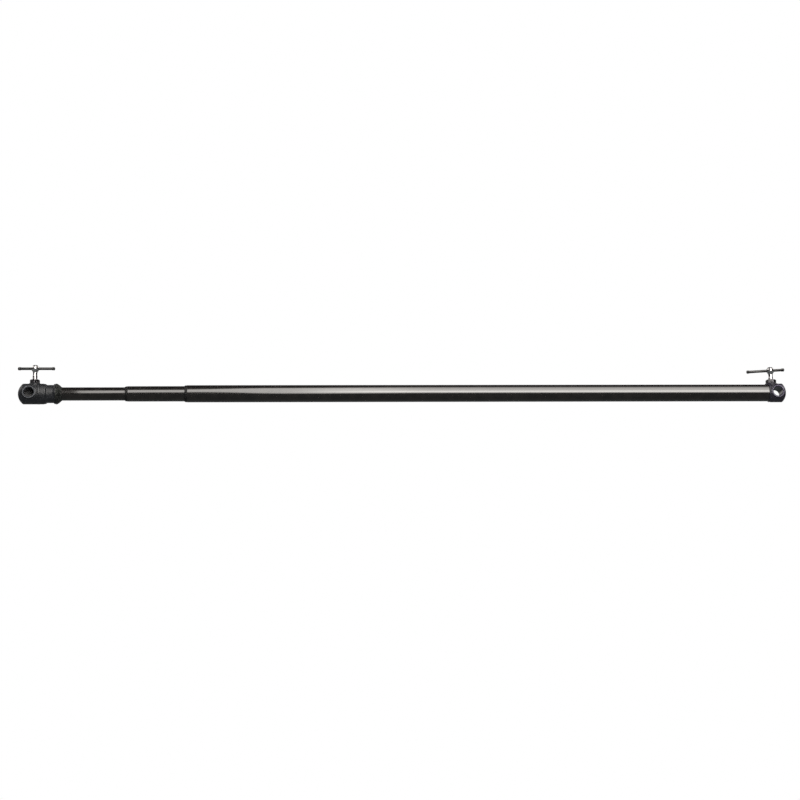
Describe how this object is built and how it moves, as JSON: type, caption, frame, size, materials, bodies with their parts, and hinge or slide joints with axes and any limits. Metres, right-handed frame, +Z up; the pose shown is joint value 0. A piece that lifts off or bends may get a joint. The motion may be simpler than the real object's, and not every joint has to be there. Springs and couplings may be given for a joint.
{
  "type": "telescoping bed cargo bar",
  "caption": "Telescoping round-tube cargo bar for a truck bed, with a cast rail clamp and a T-handled clamp screw at each end.",
  "frame": {"origin": "centre of the right head's rail bore", "axes": "+X along the bar from the left head to the right head, +Y along the rail bores, +Z up along the clamp screws"},
  "size_m": [1.5803, 0.0428, 0.0814],
  "materials": {
    "tube_black": "gloss black enamel",
    "cast_head": "satin dark grey casting",
    "nylon": "matt black nylon",
    "collar_rubber": "black moulded rubber",
    "chrome": "polished plating",
    "bush_steel": "dull plated steel",
    "black_steel": "blackened steel",
    "brass": "turned brass",
    "spring_steel": "bare spring steel"
  },
  "bodies": {
    "outer": {"outer_tube": "tube_black", "outer_mouth_liner": "nylon", "right_clamp_head": "cast_head", "right_head_pin": "spring_steel", "right_hex_bush": "bush_steel"},
    "right_shoe": {"right_clamp_shoe": "brass", "right_shoe_ring": "spring_steel"},
    "right_screw": {"right_t_screw": "chrome"},
    "right_bar": {"right_tommy_bar": "black_steel", "right_tommy_bar_caps": "black_steel"},
    "middle": {"middle_tube": "tube_black", "middle_mouth_liner": "nylon", "middle_tail_glide": "nylon"},
    "inner_glide": {"inner_tail_glide": "nylon"},
    "inner": {"inner_tube": "tube_black", "left_clamp_head": "cast_head", "left_tube_collar": "collar_rubber", "left_head_pin": "spring_steel", "left_hex_bush": "bush_steel"},
    "left_shoe": {"left_clamp_shoe": "brass", "left_shoe_ring": "spring_steel"},
    "left_screw": {"left_t_screw": "chrome"},
    "left_bar": {"left_tommy_bar": "black_steel", "left_tommy_bar_caps": "black_steel"}
  },
  "joints": [
    {"name": "middle_slide", "type": "slide", "parent": "outer", "child": "middle", "axis": [-1, 0, 0], "range_m": [-0.1154, 0.179]},
    {"name": "inner_slide", "type": "slide", "parent": "middle", "child": "inner_glide", "axis": [-1, 0, 0], "range_m": [-0.1264, 0.1495]},
    {"name": "left_head_twist", "type": "hinge", "parent": "inner_glide", "child": "inner", "pos_m": [-1.145, 0, 0], "axis": [1, 0, 0], "continuous": true},
    {"name": "right_screw_turn", "type": "hinge", "parent": "right_shoe", "child": "right_screw", "pos_m": [-0.01, 0, 0.03], "axis": [0, 0, -1], "range_deg": [-721, 325]},
    {"name": "right_shoe_travel", "type": "slide", "parent": "outer", "child": "right_shoe", "axis": [0, 0, -1], "range_m": [-0.004, 0.0018]},
    {"name": "right_bar_slide", "type": "slide", "parent": "right_screw", "child": "right_bar", "axis": [0.9981, 0, 0.061], "range_m": [-0.0163, 0.037]},
    {"name": "left_screw_turn", "type": "hinge", "parent": "left_shoe", "child": "left_screw", "pos_m": [-1.525, 0, 0.03], "axis": [0, 0, -1], "range_deg": [-1, 1315]},
    {"name": "left_shoe_travel", "type": "slide", "parent": "inner", "child": "left_shoe", "axis": [0, 0, -1], "range_m": [0, 0.0073]},
    {"name": "left_bar_slide", "type": "slide", "parent": "left_screw", "child": "left_bar", "axis": [1, 0, 0], "range_m": [-0.0267, 0.0217]}
  ],
  "couplings": [
    {"joint": "right_screw_turn", "follows": "right_shoe_travel", "rad_per_m": 3141.6},
    {"joint": "left_screw_turn", "follows": "left_shoe_travel", "rad_per_m": 3141.6}
  ]
}
